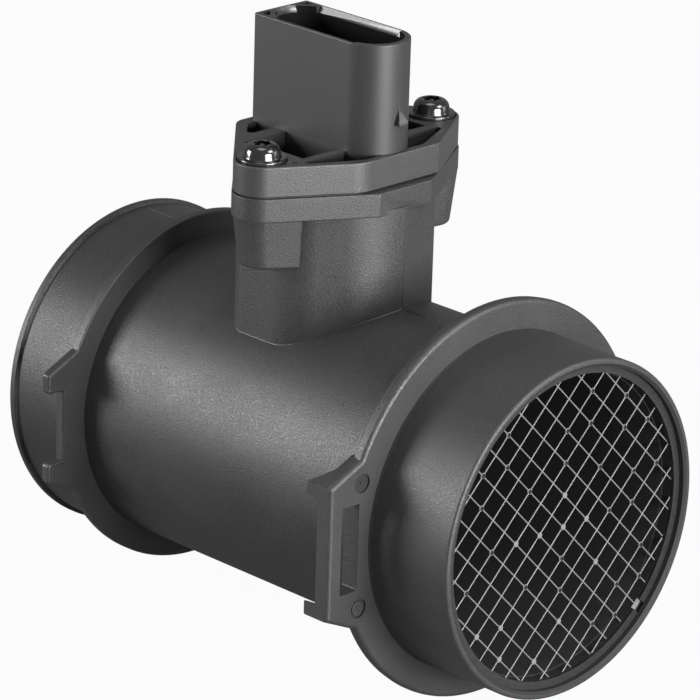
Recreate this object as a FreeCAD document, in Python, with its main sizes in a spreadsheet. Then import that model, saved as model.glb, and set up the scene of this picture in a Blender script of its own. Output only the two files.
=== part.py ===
import FreeCAD, Part
import math
import os

import Sketcher

# Mass airflow sensor: a moulded flow tube with a flange at each end, an inlet screen held by a
# retaining ring, and a plug-in sensor module under a screwed cover that carries the connector.
# Own frame: the origin lies on the tube axis in the front face of the inlet flange, the air flows
# along +Y, the connector points to +Z, and every length is in millimetres.

SIZES = {
    # Tube, spigots and round flanges, measured from the front face of the inlet flange
    "spigot_radius": 35.0,
    "spigot_reach": 21.15,
    "spigot_chamfer": 0.7,
    "flange_radius": 41.35,
    "flange_thickness": 2.85,
    "flange_chamfer": 0.35,
    "tube_radius": 32.8,
    "tube_wall": 2.6,
    "outlet_flange_place": 85.72,
    "outlet_flange_radius": 37.93,
    "outlet_flange_thickness": 2.22,
    "outlet_radius": 34.6,
    "outlet_wall": 2.6,
    "outlet_end": 106.5,
    "bead_height": 0.73,
    "bead_width": 1.7,
    "bead_chamfer": 0.3,
    "diffuser_length": 6.0,
    # Mouth of the inlet, where the screen and its ring sit
    "spigot_wall": 1.7,
    "ring_front": 19.6,
    "ring_thickness": 0.75,
    "ring_groove_depth": 0.4,
    "ring_clearance": 0.15,
    "ring_gap": 2.4,
    "ring_gap_angle": -45.0,
    "screen_seat_step": 0.1,
    "screen_clearance": 0.15,
    "screen_frame_width": 1.41,
    "screen_depth": 2.25,
    "screen_web_depth": 0.7,
    "screen_shoulder": 1.8,
    "screen_taper_length": 12.0,
    "screen_pitch": 4.75,
    "screen_web": 0.45,
    # Neck between the tube and the screwed joint
    "neck_place": 44.07,
    "neck_top": 53.5,
    "neck_half_width": 20.5,
    "neck_tip_radius": 12.0,
    "neck_front": 17.0,
    "neck_front_radius": 15.9,
    "neck_front_flat": 1.5,
    "neck_facet_x": 12.3,
    "neck_facet_y": 11.4,
    "neck_facet_radius": 1.2,
    "neck_side_y": 2.7,
    "neck_side_radius": 2.0,
    "neck_back": 20.0,
    "neck_back_radius": 5.0,
    "neck_back_x": 8.8,
    "neck_shoulder_y": 8.3,
    # Oblong flange on the neck
    "joint_height": 4.9,
    "screw_spacing": 47.52,
    "joint_tip_radius": 5.9,
    "joint_front": 16.6,
    "joint_front_left": 7.05,
    "joint_front_right": 8.2,
    "joint_back": 22.0,
    "joint_back_x": 8.44,
    "joint_back_radius": 4.0,
    "boss_radius": 5.5,
    "boss_depth": 10.3,
    "boss_draft": 3.0,
    "boss_left_overlap": 0.1,
    "boss_left_side_y": 8.2,
    "boss_right_overlap": 2.5,
    "boss_right_side_y": 5.0,
    "pilot_clearance": 0.05,
    "pilot_depth": 13.0,
    # Window through the neck for the sensor module
    "window_half": 9.2,
    "window_front": 11.0,
    "window_back": 16.6,
    "window_rounding": 3.0,
    # Seal round the window
    "seal_inset": 0.9,
    "seal_width": 1.8,
    "seal_depth": 1.3,
    "seal_clearance": 0.1,
    # Clip lugs on the inlet flange
    "lug_face": 45.73,
    "lug_half_height": 14.0,
    "lug_root_x": 37.15,
    "lug_root_z": 17.8,
    "lug_anchor_x": 33.5,
    "lug_plate_depth": 4.1,
    "lug_leg_depth": 6.9,
    "lug_leg_thickness": 3.0,
    "lug_slot_inner": 37.96,
    "lug_slot_outer": 42.6,
    "lug_slot_half": 9.1,
    "mark_x": 37.35,
    "mark_z": 13.1,
    "mark_radius": 2.0,
    "mark_depth": 0.3,
    # Horned lugs on the outlet flange
    "horn_x": 42.5,
    "horn_top": 12.0,
    "horn_bottom": 7.6,
    "horn_seat_x": 38.6,
    "horn_root_x": 34.4,
    "horn_root_z": 16.0,
    # Sensor cover with its connector shroud
    "shadow_gap": 0.2,
    "shadow_inset": 0.7,
    "cover_top": 64.9,
    "cover_tip_radius": 5.7,
    "cover_front": 14.7,
    "cover_left_x": 7.73,
    "cover_left_radius": 8.0,
    "cover_right_x": 11.6,
    "cover_right_radius": 1.5,
    "pocket_depth": 4.5,
    "pocket_rib_y": 6.5,
    "pocket_rib_width": 1.7,
    "pocket_tip_x": 17.6,
    "pocket_tip_radius": 1.0,
    "pocket_front_x": 7.4,
    "pocket_front_y": 10.4,
    "pocket_front_radius": 2.8,
    "pocket_side_x": 17.2,
    "pocket_side_y": 2.0,
    "pocket_side_end_x": 19.0,
    "pocket_side_end_y": 10.6,
    "pocket_back_y": 13.8,
    "pocket_back_x": 13.4,
    "pocket_back_end_x": 9.6,
    "pocket_back_end_y": 19.0,
    "screw_seat_radius": 5.15,
    "screw_seat_depth": 0.5,
    "plug_depth": 4.0,
    "plug_clearance": 0.25,
    "shroud_half": 7.35,
    "shroud_front": 13.8,
    "shroud_back": 20.4,
    "shroud_top": 87.4,
    "shroud_corner": 0.6,
    "shroud_wall": 1.25,
    "shroud_floor": 66.0,
    "corner_pocket_inset": 0.9,
    "corner_pocket_side": 2.6,
    "corner_pocket_depth": 8.0,
    "latch_x": 0.3,
    "latch_half": 1.16,
    "latch_reach": 1.35,
    "latch_bottom": 70.7,
    "latch_lip": 0.7,
    "latch_height": 3.2,
    "latch_overlap": 0.6,
    # Cover screws
    "screw_radius": 2.0,
    "screw_length": 16.5,
    "screw_hole_radius": 2.25,
    "washer_radius": 4.93,
    "washer_height": 1.2,
    "head_radius": 3.75,
    "head_height": 3.3,
    "head_side_height": 1.5,
    "head_shoulder_radius": 2.85,
    "head_shoulder_height": 2.75,
    "head_flat_radius": 1.95,
    "socket_radius": 1.75,
    "socket_depth": 2.0,
    "socket_pin_radius": 0.5,
    # Connector blades
    "blade_count": 5,
    "blade_pitch": 3.9,
    "blade_first": -5.6,
    "blade_width": 1.5,
    "blade_thickness": 0.8,
    "blade_top": 80.0,
    "blade_tip_chamfer": 0.3,
    "blade_foot": 49.0,
    "blade_foot_thickness": 0.8,
    "blade_slot_clearance": 0.3,
    # Measuring column that hangs in the air stream
    "column_half": 7.2,
    "column_front": 10.2,
    "column_back": 15.6,
    "column_rounding": 1.5,
    "column_bottom": -11.0,
    "column_wall": 1.7,
    "duct_half": 8.5,
    "chamber_floor": 24.0,
    "element_slot_y": 0.5,
    "element_slot_width": 5.0,
    "lid_thickness": 1.2,
    "lid_split": 12.0,
    "lid_gap": 0.4,
    "plate_thickness": 1.5,
    "plate_clearance": 0.3,
    "board_thickness": 0.8,
    "board_inset": 1.2,
    "chip_side": 6.0,
    "chip_height": 1.3,
    "chip_y": -3.6,
    "chip_z": 31.0,
    "driver_side": 4.6,
    "driver_height": 2.0,
    "driver_y": 5.4,
    "driver_z": 30.2,
    "capacitor_length": 2.6,
    "capacitor_width": 1.4,
    "capacitor_height": 1.2,
    "capacitor_pitch": 3.6,
    "capacitor_z": 42.0,
    "capacitor_count": 4,
    "element_thickness": 0.8,
    "element_bottom": 2.5,
    "element_width": 4.0,
    "bead_sensor_radius": 1.2,
    "bead_sensor_length": 6.5,
    "bead_sensor_y": 11.0,
}

document = FreeCAD.newDocument("AirflowSensor")
sheet = document.addObject("Spreadsheet::Sheet", "Sizes")
for row, (alias, value) in enumerate(SIZES.items(), start=1):
    sheet.set(f"A{row}", alias)
    sheet.set(f"B{row}", str(value))
    sheet.setAlias(f"B{row}", alias)
document.recompute()


class Size:
    """A length that knows its present value and the sheet formula that gives it."""

    def __init__(self, value, formula):
        self.value = value
        self.formula = formula

    def __add__(self, other):
        other = as_size(other)
        return Size(self.value + other.value, f"({self.formula} + {other.formula})")

    def __sub__(self, other):
        other = as_size(other)
        return Size(self.value - other.value, f"({self.formula} - {other.formula})")

    def __mul__(self, factor):
        factor = as_size(factor)
        return Size(self.value * factor.value, f"({self.formula} * {factor.formula})")

    def __truediv__(self, factor):
        return Size(self.value / factor, f"({self.formula} / {factor})")

    def __neg__(self):
        return self * -1

    def __radd__(self, other):
        return as_size(other) + self

    def __rsub__(self, other):
        return as_size(other) - self

    def __rmul__(self, other):
        return self * other


def as_size(number):
    """Give a plain number the form of a Size."""
    if isinstance(number, Size):
        return number
    return Size(float(number), f"({float(number)})")


class Sheet:
    """The sizes of the sheet by name."""

    def __getattr__(self, alias):
        return Size(float(getattr(sheet, alias)), f"Sizes.{alias}")


size = Sheet()


def bind(item, property_name, length):
    """Tie a property of an object to the sheet, or set it where the length is a plain number."""
    length = as_size(length)
    item.setExpression(property_name, length.formula)


def new_body(label):
    """Start a piece as a body of its own."""
    body = document.addObject("PartDesign::Body", label)
    body.Label = label
    pieces.append(body)
    return body


def new_sketch(body, name, plane, height, shift=(0, 0)):
    """Attach a sketch to one of the body's own origin planes, raised by height and shifted in it."""
    sketch = body.newObject("Sketcher::SketchObject", f"{body.Name}_{name}_outline")
    planes = [item for item in body.Origin.OriginFeatures if item.Role == plane]
    sketch.AttachmentSupport = (planes[0], [""])
    sketch.MapMode = "FlatFace"
    bind(sketch, "AttachmentOffset.Base.x", shift[0])
    bind(sketch, "AttachmentOffset.Base.y", shift[1])
    bind(sketch, "AttachmentOffset.Base.z", height)
    return sketch


def constrain(sketch, kind, places, length):
    """Add a constraint whose value comes from the sheet."""
    length = as_size(length)
    number = sketch.addConstraint(Sketcher.Constraint(kind, *places, length.value))
    sketch.setExpression(f"Constraints[{number}]", length.formula)


def fix_point(sketch, item, point, x, y):
    """Hold a point of the sketch at x and y from the sketch's origin."""
    constrain(sketch, "DistanceX", (-1, 1, item, point), x)
    constrain(sketch, "DistanceY", (-1, 1, item, point), y)


def belt(sketch, pegs):
    """Draw a closed outline like a belt round pegs (x, y, radius); two numbers make a sharp corner."""
    pegs = [tuple(as_size(number) for number in (*peg, 0)[:3]) for peg in pegs]
    pairs = list(zip(pegs, pegs[1:] + pegs[:1]))
    turning = sum(a[0].value * b[1].value - b[0].value * a[1].value for a, b in pairs)
    if turning < 0:
        pegs.reverse()
        pairs = list(zip(pegs, pegs[1:] + pegs[:1]))
    lines = []
    ends = []
    for (x, y, radius), (next_x, next_y, next_radius) in pairs:
        run = FreeCAD.Vector(next_x.value - x.value, next_y.value - y.value, 0)
        along = FreeCAD.Vector(run).normalize()
        outward = FreeCAD.Vector(along.y, -along.x, 0)
        sine = (radius.value - next_radius.value) / run.Length
        normal = outward * math.sqrt(1 - sine**2) + along * sine
        start = FreeCAD.Vector(x.value, y.value, 0) + normal * radius.value
        end = FreeCAD.Vector(next_x.value, next_y.value, 0) + normal * next_radius.value
        lines.append(sketch.addGeometry(Part.LineSegment(start, end), False))
        ends.append((start, end))
    for number, (x, y, radius) in enumerate(pegs):
        before = lines[number - 1]
        after = lines[number]
        if radius.value == 0:
            sketch.addConstraint(Sketcher.Constraint("Coincident", before, 2, after, 1))
            fix_point(sketch, after, 1, x, y)
            continue
        centre = FreeCAD.Vector(x.value, y.value, 0)
        angles = [math.atan2(*(point - centre)[1::-1]) for point in (ends[number - 1][1], ends[number][0])]
        circle = Part.Circle(centre, FreeCAD.Vector(0, 0, 1), radius.value)
        arc = sketch.addGeometry(Part.ArcOfCircle(circle, *angles), False)
        sketch.addConstraint(Sketcher.Constraint("Tangent", before, 2, arc, 1))
        sketch.addConstraint(Sketcher.Constraint("Tangent", arc, 2, after, 1))
        constrain(sketch, "Radius", (arc,), radius)
        fix_point(sketch, arc, 3, x, y)


def disc(sketch, x, y, radius):
    """Draw a circle."""
    centre = FreeCAD.Vector(as_size(x).value, as_size(y).value, 0)
    circle = sketch.addGeometry(Part.Circle(centre, FreeCAD.Vector(0, 0, 1), radius.value), False)
    constrain(sketch, "Radius", (circle,), radius)
    fix_point(sketch, circle, 3, x, y)


def draw(sketch, loops):
    """Draw each loop: a list of pegs is a belt, and a tuple is a circle."""
    for loop in loops:
        if isinstance(loop, tuple):
            disc(sketch, *loop)
        else:
            belt(sketch, loop)


def slab(body, name, plane, loops, low, high, cut=False, shift=(0, 0), draft=None):
    """Add or cut the outline between two heights over one of the origin planes."""
    low = as_size(low)
    high = as_size(high)
    faces_back = plane == "XZ_Plane"
    start = high if faces_back != cut else low
    sketch = new_sketch(body, name, plane, -start if faces_back else start, shift)
    draw(sketch, loops)
    feature = body.newObject("PartDesign::Pocket" if cut else "PartDesign::Pad", f"{body.Name}_{name}")
    feature.Profile = sketch
    feature.Type = 0
    bind(feature, "Length", high - low)
    if draft is not None:
        bind(feature, "TaperAngle", draft)
    sketch.Visibility = False
    return feature


def turned(body, name, plane, axis, pegs, cut=False, height=0, shift=(0, 0)):
    """Turn the outline a full round about an axis of its sketch, to add or to cut."""
    sketch = new_sketch(body, name, plane, height, shift)
    belt(sketch, pegs)
    kind = "PartDesign::Groove" if cut else "PartDesign::Revolution"
    feature = body.newObject(kind, f"{body.Name}_{name}")
    feature.Profile = sketch
    feature.ReferenceAxis = (sketch, [axis])
    feature.Angle = 360
    sketch.Visibility = False
    return feature


def box_loop(x_low, x_high, y_low, y_high, rounding=0):
    """Corner pegs of a rectangle."""
    return [
        (x_low + rounding, y_low + rounding, rounding),
        (x_high - rounding, y_low + rounding, rounding),
        (x_high - rounding, y_high - rounding, rounding),
        (x_low + rounding, y_high - rounding, rounding),
    ]


pieces = []
SIDES = (-1, 1)

# Places that several pieces share
screw_x = size.screw_spacing / 2
bore_radius = size.tube_radius - size.tube_wall
mouth_radius = size.spigot_radius - size.spigot_wall
ring_groove_radius = mouth_radius + size.ring_groove_depth
screen_seat_radius = mouth_radius - size.screen_seat_step
screen_frame_radius = screen_seat_radius - size.screen_clearance
screen_opening_radius = screen_frame_radius - size.screen_frame_width
joint_top = size.neck_top + size.joint_height
pilot_radius = size.screw_radius + size.pilot_clearance
cover_bottom = joint_top + size.shadow_gap
screw_seat = size.cover_top - size.screw_seat_depth
pocket_floor = size.cover_top - size.pocket_depth
neck_shift = (0, size.neck_place)
ring_back = size.ring_front - size.ring_thickness
screen_back = ring_back - size.screen_depth
plug_bottom = joint_top - size.plug_depth
channel_wall_x = size.column_wall - size.column_half
plate_face_x = channel_wall_x + size.plate_thickness
board_face_x = plate_face_x + size.board_thickness
chamber_top = plug_bottom - size.column_wall
chamber_front = size.column_wall - size.column_front
chamber_back = size.column_back - size.column_wall


def window(grow):
    """Outline of the window through the neck, grown or shrunk all round."""
    radius = size.window_rounding + grow
    x = size.window_half - size.window_rounding
    front = size.window_rounding - size.window_front
    back = size.window_back - size.window_rounding
    return [(-x, front, radius), (x, front, radius), (x, back, radius), (-x, back, radius)]


def cover_outline(inset):
    """Outline of the sensor cover, drawn in by inset."""
    return [
        (-screw_x, 0, size.cover_tip_radius - inset),
        (-size.cover_left_x, size.cover_left_radius - size.cover_front, size.cover_left_radius - inset),
        (size.cover_right_x, size.cover_right_radius - size.cover_front, size.cover_right_radius - inset),
        (screw_x, 0, size.cover_tip_radius - inset),
        (size.joint_back_x, size.joint_back - size.joint_back_radius, size.joint_back_radius - inset),
        (-size.joint_back_x, size.joint_back - size.joint_back_radius, size.joint_back_radius - inset),
    ]


# Housing: tube, flanges, neck, bosses and lugs are one moulding
housing = new_body("housing")
outlet_flange_back = size.outlet_flange_place + size.outlet_flange_thickness
bead_start = size.outlet_end - size.bead_width
bead_radius = size.outlet_radius + size.bead_height
flange_edge = size.flange_radius - size.flange_chamfer
turned(housing, "barrel", "YZ_Plane", "H_Axis", [
    (-size.spigot_reach, 0),
    (-size.spigot_reach, size.spigot_radius - size.spigot_chamfer),
    (size.spigot_chamfer - size.spigot_reach, size.spigot_radius),
    (0, size.spigot_radius),
    (0, flange_edge),
    (size.flange_chamfer, size.flange_radius),
    (size.flange_thickness - size.flange_chamfer, size.flange_radius),
    (size.flange_thickness, flange_edge),
    (size.flange_thickness, size.tube_radius),
    (size.outlet_flange_place, size.tube_radius),
    (size.outlet_flange_place, size.outlet_flange_radius),
    (outlet_flange_back, size.outlet_flange_radius),
    (outlet_flange_back, size.outlet_radius),
    (bead_start, size.outlet_radius),
    (bead_start, bead_radius),
    (size.outlet_end - size.bead_chamfer, bead_radius),
    (size.outlet_end, bead_radius - size.bead_chamfer),
    (size.outlet_end, 0),
])
neck_outline = [
    (-size.neck_front_flat, size.neck_front_radius - size.neck_front, size.neck_front_radius),
    (0, -size.neck_front),
    (size.neck_facet_x, -size.neck_facet_y, size.neck_facet_radius),
    (size.neck_half_width - size.neck_side_radius, -size.neck_side_y, size.neck_side_radius),
    (size.neck_half_width - size.neck_back_radius, size.neck_shoulder_y, size.neck_back_radius),
    (size.neck_back_x, size.neck_back - size.neck_back_radius, size.neck_back_radius),
    (-size.neck_back_x, size.neck_back - size.neck_back_radius, size.neck_back_radius),
    (size.neck_back_radius - size.neck_half_width, size.neck_shoulder_y, size.neck_back_radius),
    (size.neck_tip_radius - size.neck_half_width, 0, size.neck_tip_radius),
]
slab(housing, "neck", "XY_Plane", [neck_outline], 0, size.neck_top, shift=neck_shift)
slab(housing, "joint", "XY_Plane", [[
    (-screw_x, 0, size.joint_tip_radius),
    (-size.joint_front_left, -size.joint_front),
    (size.joint_front_right, -size.joint_front),
    (screw_x, 0, size.joint_tip_radius),
    (size.joint_back_x, size.joint_back - size.joint_back_radius, size.joint_back_radius),
    (-size.joint_back_x, size.joint_back - size.joint_back_radius, size.joint_back_radius),
]], size.neck_top, joint_top, shift=neck_shift)
boss_roots = (
    (size.boss_left_overlap, size.boss_left_side_y),
    (size.boss_right_overlap, size.boss_right_side_y),
)
for side, name, (overlap, side_y) in zip(SIDES, ("left", "right"), boss_roots):
    boss_inner = size.neck_half_width - overlap
    boss = slab(housing, f"{name}_boss", "XY_Plane", [[
        (side * screw_x, 0, size.boss_radius),
        (side * boss_inner, -side_y),
        (side * boss_inner, side_y),
    ]], size.neck_top, size.neck_top + size.boss_depth, shift=neck_shift, draft=-size.boss_draft)
    boss.Reversed = True
    slab(housing, f"{name}_lug", "XZ_Plane", [[
        (side * size.lug_anchor_x, size.lug_root_z),
        (side * size.lug_root_x, size.lug_root_z),
        (side * size.lug_face, size.lug_half_height),
        (side * size.lug_face, -size.lug_half_height),
        (side * size.lug_root_x, -size.lug_root_z),
        (side * size.lug_anchor_x, -size.lug_root_z),
    ]], 0, size.lug_plate_depth)
    for end, end_name in zip(SIDES, ("lower", "upper")):
        leg_outer = size.lug_half_height
        leg_inner = size.lug_half_height - size.lug_leg_thickness
        slab(housing, f"{name}_{end_name}_leg", "XZ_Plane", [[
            (side * (size.tube_radius - size.lug_leg_thickness), end * leg_inner),
            (side * size.lug_face, end * leg_inner),
            (side * size.lug_face, end * leg_outer),
            (side * (size.tube_radius - size.lug_leg_thickness), end * leg_outer),
        ]], size.flange_thickness, size.lug_leg_depth)
        slab(housing, f"{name}_{end_name}_horn", "XZ_Plane", [[
            (side * size.horn_root_x, 0),
            (side * size.horn_seat_x, 0),
            (side * size.horn_seat_x, end * size.horn_bottom),
            (side * size.horn_x, end * size.horn_bottom),
            (side * size.horn_x, end * size.horn_top),
            (side * size.horn_root_x, end * size.horn_root_z),
        ]], size.outlet_flange_place, outlet_flange_back)
        slab(housing, f"{name}_{end_name}_mark", "XZ_Plane",
             [(side * size.mark_x, end * size.mark_z, size.mark_radius)],
             0, size.mark_depth, cut=True)
    slab(housing, f"{name}_clip_slot", "XZ_Plane", [box_loop(
        side * size.lug_slot_inner, side * size.lug_slot_outer,
        -size.lug_slot_half, size.lug_slot_half,
    )], 0, size.lug_plate_depth, cut=True)
slab(housing, "window", "XY_Plane", [window(0)], 0, joint_top, cut=True, shift=neck_shift)
slab(housing, "seal_groove", "XY_Plane",
     [window(size.seal_inset), window(size.seal_inset + size.seal_width)],
     joint_top - size.seal_depth, joint_top, cut=True, shift=neck_shift)
slab(housing, "pilots", "XY_Plane", [(side * screw_x, 0, pilot_radius) for side in SIDES],
     joint_top - size.pilot_depth, joint_top, cut=True, shift=neck_shift)
turned(housing, "bore", "YZ_Plane", "H_Axis", [
    (-size.spigot_reach - size.spigot_chamfer, 0),
    (-size.spigot_reach - size.spigot_chamfer, mouth_radius),
    (-size.ring_front, mouth_radius),
    (-size.ring_front, ring_groove_radius),
    (-ring_back, ring_groove_radius),
    (-ring_back, screen_seat_radius),
    (-screen_back, screen_seat_radius),
    (-screen_back, screen_seat_radius - size.screen_shoulder),
    (size.screen_taper_length - screen_back, bore_radius),
    (size.outlet_flange_place, bore_radius),
    (size.outlet_flange_place + size.diffuser_length, size.outlet_radius - size.outlet_wall),
    (size.outlet_end + size.bead_width, size.outlet_radius - size.outlet_wall),
    (size.outlet_end + size.bead_width, 0),
], cut=True)

# Inlet screen: a thin moulded grid on the diagonal, in a deeper round frame
document.recompute()
screen = document.addObject("Part::Feature", "inlet_screen")
screen.Label = "inlet_screen"
pieces.append(screen)
frame_radius = screen_frame_radius.value
opening_radius = screen_opening_radius.value
depth = size.screen_depth.value
web_depth = size.screen_web_depth.value
pitch = size.screen_pitch.value
hole_side = pitch - size.screen_web.value
reach = math.ceil(opening_radius / pitch)
along_y = FreeCAD.Vector(0, 1, 0)
front = FreeCAD.Vector(0, -ring_back.value, 0)
behind = front + along_y * web_depth
opening = Part.makeCylinder(opening_radius, depth, front, along_y)
hollow = Part.makeCylinder(opening_radius, depth - web_depth, behind, along_y)
holes = []
for column in range(-reach, reach):
    for line in range(-reach, reach):
        corner = FreeCAD.Vector(column * pitch, 0, line * pitch) + front
        corner += FreeCAD.Vector(size.screen_web.value / 2, 0, size.screen_web.value / 2)
        hole = Part.makeBox(hole_side, depth, hole_side, corner)
        hole.rotate(FreeCAD.Vector(0, 0, 0), along_y, 45)
        middle = hole.CenterOfMass
        if math.hypot(middle.x, middle.z) < opening_radius + hole_side:
            holes.append(hole)
cells = opening.common(Part.makeCompound(holes))
screen.Shape = Part.makeCylinder(frame_radius, depth, front, along_y).cut([hollow, cells])
screen.Placement = FreeCAD.Placement()

# Retaining ring: a flat split ring sprung into its groove
ring = new_body("retaining_ring")
ring_outer = ring_groove_radius - size.ring_clearance
slab(ring, "band", "XZ_Plane", [(0, 0, ring_outer), (0, 0, screen_opening_radius)],
     -size.ring_front, -ring_back)
gap_angle = math.radians(SIZES["ring_gap_angle"])
gap_out = (math.cos(gap_angle), math.sin(gap_angle))
gap_side = (-gap_out[1], gap_out[0])
gap_inner = screen_opening_radius - size.ring_gap
gap_outer = ring_outer + size.ring_gap
gap_corners = []
for radius, side in ((gap_inner, -1), (gap_outer, -1), (gap_outer, 1), (gap_inner, 1)):
    gap_corners.append(tuple(
        radius * gap_out[axis] + size.ring_gap / 2 * (side * gap_side[axis]) for axis in (0, 1)))
slab(ring, "gap", "XZ_Plane", [gap_corners], -size.ring_front, -ring_back, cut=True)

# Sensor cover: plate, connector shroud and plug are one moulding
cover = new_body("sensor_cover")
slab(cover, "plate", "XY_Plane", [cover_outline(0)], cover_bottom, size.cover_top, shift=neck_shift)
slab(cover, "foot", "XY_Plane", [cover_outline(size.shadow_inset)], joint_top, cover_bottom, shift=neck_shift)
slab(cover, "plug", "XY_Plane", [window(-size.plug_clearance)], plug_bottom, joint_top, shift=neck_shift)
rib_back = size.pocket_rib_width - size.pocket_rib_y
for side, name in zip(SIDES, ("left", "right")):
    slab(cover, f"{name}_front_pocket", "XY_Plane", [[
        (0, -size.pocket_rib_y),
        (side * size.pocket_tip_x, -size.pocket_rib_y - size.pocket_tip_radius, size.pocket_tip_radius),
        (side * size.pocket_front_x, -size.pocket_front_y, size.pocket_front_radius),
        (0, -size.pocket_front_y - size.pocket_front_radius),
    ]], pocket_floor, size.cover_top, cut=True, shift=neck_shift)
    slab(cover, f"{name}_side_pocket", "XY_Plane", [[
        (0, rib_back),
        (side * size.pocket_side_x, rib_back),
        (side * size.pocket_side_x, size.pocket_side_y),
        (side * size.pocket_side_end_x, size.pocket_side_end_y),
        (0, size.pocket_side_end_y),
    ]], pocket_floor, size.cover_top, cut=True, shift=neck_shift)
    slab(cover, f"{name}_back_pocket", "XY_Plane", [[
        (0, size.pocket_back_y),
        (side * size.pocket_back_x, size.pocket_back_y),
        (side * size.pocket_back_end_x, size.pocket_back_end_y),
        (0, size.pocket_back_end_y),
    ]], pocket_floor, size.cover_top, cut=True, shift=neck_shift)
shroud_end = size.shroud_half - size.shroud_front
shroud_corner_x = size.shroud_half - size.shroud_corner
shroud_corner_y = size.shroud_back - size.shroud_corner
slab(cover, "shroud", "XY_Plane", [[
    (0, shroud_end, size.shroud_half),
    (shroud_corner_x, shroud_corner_y, size.shroud_corner),
    (-shroud_corner_x, shroud_corner_y, size.shroud_corner),
]], cover_bottom, size.shroud_top, shift=neck_shift)
latch_left = size.latch_x - size.latch_half
latch_right = size.latch_x + size.latch_half
latch_root = size.neck_place - size.shroud_front
latch_tip = latch_root - size.latch_reach
latch_lip_top = size.latch_bottom + size.latch_lip
latch_top = size.latch_bottom + size.latch_height
slab(cover, "latch_nub", "XZ_Plane", [[
    (latch_left, size.latch_bottom),
    (latch_right, size.latch_bottom),
    (latch_right, latch_lip_top),
    (size.latch_x, latch_top),
    (latch_left, latch_lip_top),
]], latch_tip, latch_root + size.latch_overlap)
slab(cover, "latch_ramp", "YZ_Plane", [[
    (latch_root, latch_top),
    (latch_tip, latch_lip_top),
    (latch_tip - size.latch_reach, latch_lip_top),
    (latch_tip - size.latch_reach, latch_top),
]], latch_left, latch_right, cut=True)
cavity_half = size.shroud_half - size.shroud_wall
slab(cover, "cavity", "XY_Plane", [[
    (0, shroud_end, cavity_half),
    (0, size.shroud_back - size.shroud_wall - cavity_half, cavity_half),
]], size.shroud_floor, size.shroud_top, cut=True, shift=neck_shift)
for side, name in zip(SIDES, ("left", "right")):
    pocket_x = size.shroud_half - size.corner_pocket_inset
    pocket_y = size.shroud_back - size.corner_pocket_inset
    slab(cover, f"{name}_corner_pocket", "XY_Plane", [[
        (side * pocket_x, pocket_y),
        (side * (pocket_x - size.corner_pocket_side), pocket_y),
        (side * pocket_x, pocket_y - size.corner_pocket_side),
    ]], size.shroud_top - size.corner_pocket_depth, size.shroud_top, cut=True, shift=neck_shift)
slab(cover, "screw_seats", "XY_Plane", [(side * screw_x, 0, size.screw_seat_radius) for side in SIDES],
     screw_seat, size.cover_top, cut=True, shift=neck_shift)
slab(cover, "screw_holes", "XY_Plane", [(side * screw_x, 0, size.screw_hole_radius) for side in SIDES],
     joint_top, size.cover_top, cut=True, shift=neck_shift)


def blade_loop(number, grow=0):
    """Section of one connector blade, grown for its slot."""
    middle = size.blade_first + number * size.blade_pitch
    half_width = size.blade_width / 2 + grow
    half_thickness = size.blade_thickness / 2 + grow
    return box_loop(-half_thickness, half_thickness, middle - half_width, middle + half_width)


blade_numbers = range(int(SIZES["blade_count"]))
slab(cover, "blade_slots", "XY_Plane", [blade_loop(number) for number in blade_numbers],
     plug_bottom, size.shroud_floor, cut=True, shift=neck_shift)

# Cover seal: a soft ring in the groove round the window
seal = new_body("cover_seal")
slab(seal, "ring", "XY_Plane", [
    window(size.seal_inset + size.seal_clearance),
    window(size.seal_inset + size.seal_width - size.seal_clearance),
], joint_top - size.seal_depth, joint_top, shift=neck_shift)

# Cover screws: round heads on a pressed washer face, with a pin in the socket
for side, name in zip(SIDES, ("left", "right")):
    screw = new_body(f"cover_screw_{name}")
    washer_top = screw_seat + size.washer_height
    head_top = washer_top + size.head_height
    socket_floor = head_top - size.socket_depth
    axis_shift = (side * screw_x, 0)
    turned(screw, "blank", "XZ_Plane", "V_Axis", [
        (0, screw_seat - size.screw_length),
        (size.screw_radius, screw_seat - size.screw_length),
        (size.screw_radius, screw_seat),
        (size.washer_radius, screw_seat),
        (size.washer_radius, washer_top),
        (size.head_radius, washer_top),
        (size.head_radius, washer_top + size.head_side_height),
        (size.head_shoulder_radius, washer_top + size.head_shoulder_height),
        (size.head_flat_radius, head_top),
        (0, head_top),
    ], height=-size.neck_place, shift=axis_shift)
    turned(screw, "socket", "XZ_Plane", "V_Axis", [
        (size.socket_pin_radius, socket_floor),
        (size.socket_radius, socket_floor),
        (size.socket_radius, head_top),
        (size.socket_pin_radius, head_top),
    ], cut=True, height=-size.neck_place, shift=axis_shift)

# Connector blades: each stands in the cover and turns in to the circuit board below
for number in blade_numbers:
    blade = new_body(f"connector_blade_{number + 1}")
    middle = size.blade_first + number * size.blade_pitch
    slab(blade, "stem", "XY_Plane", [blade_loop(number)], size.blade_foot, size.blade_top, shift=neck_shift)
    slab(blade, "foot", "XY_Plane", [box_loop(
        board_face_x, size.blade_thickness / 2,
        middle - size.blade_width / 2, middle + size.blade_width / 2,
    )], size.blade_foot, size.blade_foot + size.blade_foot_thickness, shift=neck_shift)

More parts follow.
